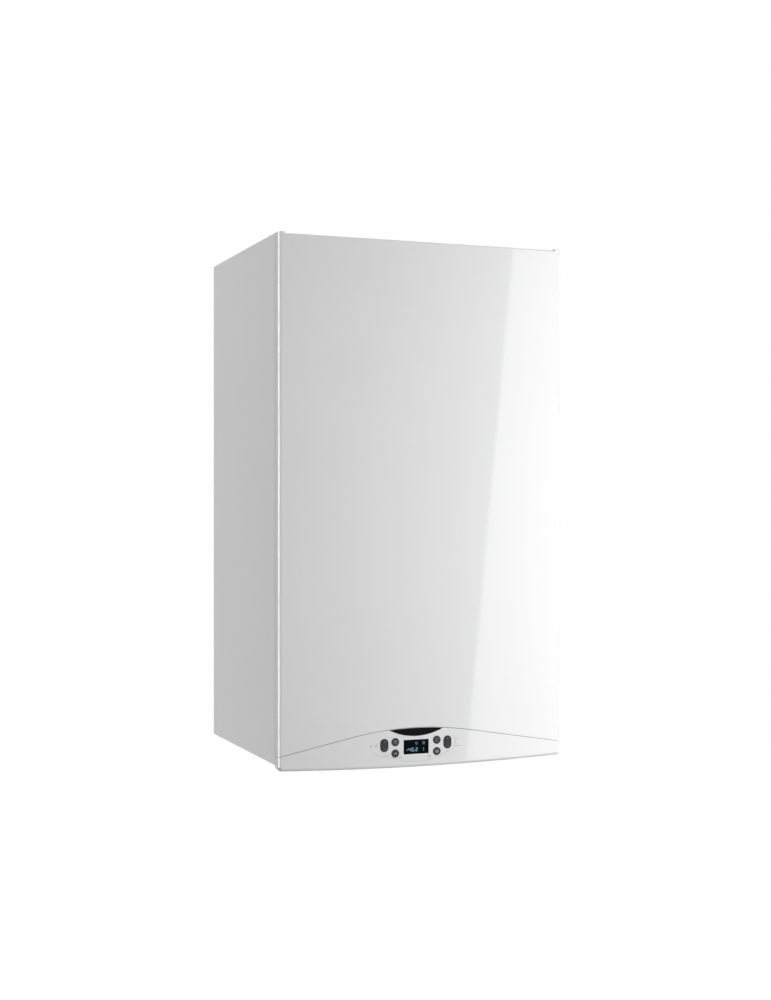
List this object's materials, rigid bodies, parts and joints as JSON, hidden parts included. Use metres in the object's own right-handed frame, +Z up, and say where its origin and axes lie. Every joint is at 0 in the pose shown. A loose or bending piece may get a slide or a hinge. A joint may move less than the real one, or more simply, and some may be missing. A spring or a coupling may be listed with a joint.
{
  "type": "wall-hung condensing boiler",
  "caption": "White wall-hung gas boiler with a pull-off front cover, a swing-down control panel with an arched top, sprung buttons, and its burner, fan, pump and pipework inside.",
  "frame": {"origin": "midway between the wall bracket's two screw holes, on the wall plane", "axes": "+X to the viewer's right, -Y out of the front, +Z up"},
  "size_m": [0.4, 0.32, 0.717],
  "materials": {
    "white_steel": "smooth white powder paint",
    "fascia_white": "smooth white moulding",
    "badge_black": "gloss black",
    "button_grey": "satin dark grey",
    "display_glass": "dark clear window",
    "display_lit": "black display with lit segments",
    "board_green": "green board with solder mask",
    "tray_grey": "fine textured grey moulding",
    "black_plastic": "fine textured black moulding",
    "galvanised": "galvanised sheet",
    "stainless": "brushed stainless steel",
    "cast_aluminium": "as cast",
    "brass": "machined and cast brass",
    "copper": "drawn copper tube",
    "vessel_red": "red paint",
    "motor_dark": "dark paint",
    "gasket": "moulded seal",
    "ceramic_white": "white ceramic",
    "knob_red": "satin red",
    "knob_blue": "satin blue"
  },
  "bodies": {
    "boiler": {"wall_bracket": "galvanised", "rear_panel": "galvanised", "left_side_panel": "white_steel", "right_side_panel": "white_steel", "top_panel": "white_steel", "bottom_plate": "galvanised", "mounting_frame": "galvanised", "cover_studs": "stainless", "flue_collar": "tray_grey", "flue_duct": "stainless", "exchanger_drum": "stainless", "exchanger_rings": "stainless", "door_gasket": "gasket", "burner_door": "cast_aluminium", "door_bolts": "stainless", "burner_tube": "stainless", "electrodes": "ceramic_white", "mixture_duct": "cast_aluminium", "fan_housing": "cast_aluminium", "fan_motor": "black_plastic", "venturi": "cast_aluminium", "air_intake": "tray_grey", "gas_valve": "cast_aluminium", "gas_feed_tube": "copper", "gas_supply_pipe": "copper", "condensate_trap": "tray_grey", "expansion_vessel": "vessel_red", "vessel_pipe": "copper", "flow_group": "brass", "return_group": "brass", "plate_exchanger": "stainless", "pump_body": "brass", "pump_motor": "motor_dark", "flow_pipe": "copper", "return_pipe": "copper", "air_vent": "brass", "diverter_motor": "black_plastic", "safety_valve": "brass", "filling_tap": "brass", "panel_hinge_pins": "stainless"},
    "front_cover": {"front_cover": "white_steel", "cover_clips": "black_plastic"},
    "control_panel": {"control_fascia": "fascia_white", "badge_plate": "badge_black", "display_window": "display_glass", "display_module": "display_lit", "display_board": "board_green", "control_tray": "tray_grey", "tray_lid": "tray_grey", "main_board": "board_green"},
    "oval_button_left": {"oval_button_left": "button_grey"},
    "oval_button_right": {"oval_button_right": "button_grey"},
    "button_left_upper": {"button_left_upper": "button_grey"},
    "button_left_lower": {"button_left_lower": "button_grey"},
    "button_right_upper": {"button_right_upper": "button_grey"},
    "button_right_lower": {"button_right_lower": "button_grey"},
    "fan_impeller": {"fan_impeller": "stainless"},
    "pump_rotor": {"pump_rotor": "stainless"},
    "safety_knob": {"safety_knob": "knob_red"},
    "filling_knob": {"filling_knob": "knob_blue"}
  },
  "joints": [
    {"name": "cover_slide", "type": "slide", "parent": "boiler", "child": "front_cover", "axis": [0, -1, 0], "range_m": [0, 0.35]},
    {"name": "panel_hinge", "type": "hinge", "parent": "boiler", "child": "control_panel", "pos_m": [0, -0.186, -0.628], "axis": [1, 0, 0], "range_deg": [0, 85]},
    {"name": "oval_button_left_press", "type": "slide", "parent": "control_panel", "child": "oval_button_left", "axis": [0, 1, 0], "range_m": [0, 0.001], "stiffness_N_per_m": 400},
    {"name": "oval_button_right_press", "type": "slide", "parent": "control_panel", "child": "oval_button_right", "axis": [0, 1, 0], "range_m": [0, 0.001], "stiffness_N_per_m": 400},
    {"name": "button_left_upper_press", "type": "slide", "parent": "control_panel", "child": "button_left_upper", "axis": [0, 1, 0], "range_m": [0, 0.001], "stiffness_N_per_m": 400},
    {"name": "button_left_lower_press", "type": "slide", "parent": "control_panel", "child": "button_left_lower", "axis": [0, 1, 0], "range_m": [0, 0.001], "stiffness_N_per_m": 400},
    {"name": "button_right_upper_press", "type": "slide", "parent": "control_panel", "child": "button_right_upper", "axis": [0, 1, 0], "range_m": [0, 0.001], "stiffness_N_per_m": 400},
    {"name": "button_right_lower_press", "type": "slide", "parent": "control_panel", "child": "button_right_lower", "axis": [0, 1, 0], "range_m": [0, 0.001], "stiffness_N_per_m": 400},
    {"name": "fan_spin", "type": "hinge", "parent": "boiler", "child": "fan_impeller", "pos_m": [-0.132, -0.243, -0.223], "axis": [0, 1, 0], "continuous": true},
    {"name": "pump_spin", "type": "hinge", "parent": "boiler", "child": "pump_rotor", "pos_m": [0.13, -0.138, -0.515], "axis": [0, 1, 0], "continuous": true},
    {"name": "safety_turn", "type": "hinge", "parent": "boiler", "child": "safety_knob", "pos_m": [0.065, -0.12, -0.58], "axis": [0, -1, 0], "range_deg": [0, 90]},
    {"name": "filling_turn", "type": "hinge", "parent": "boiler", "child": "filling_knob", "pos_m": [0.1, -0.1, -0.64], "axis": [0, 0, -1], "range_deg": [0, 90]}
  ]
}
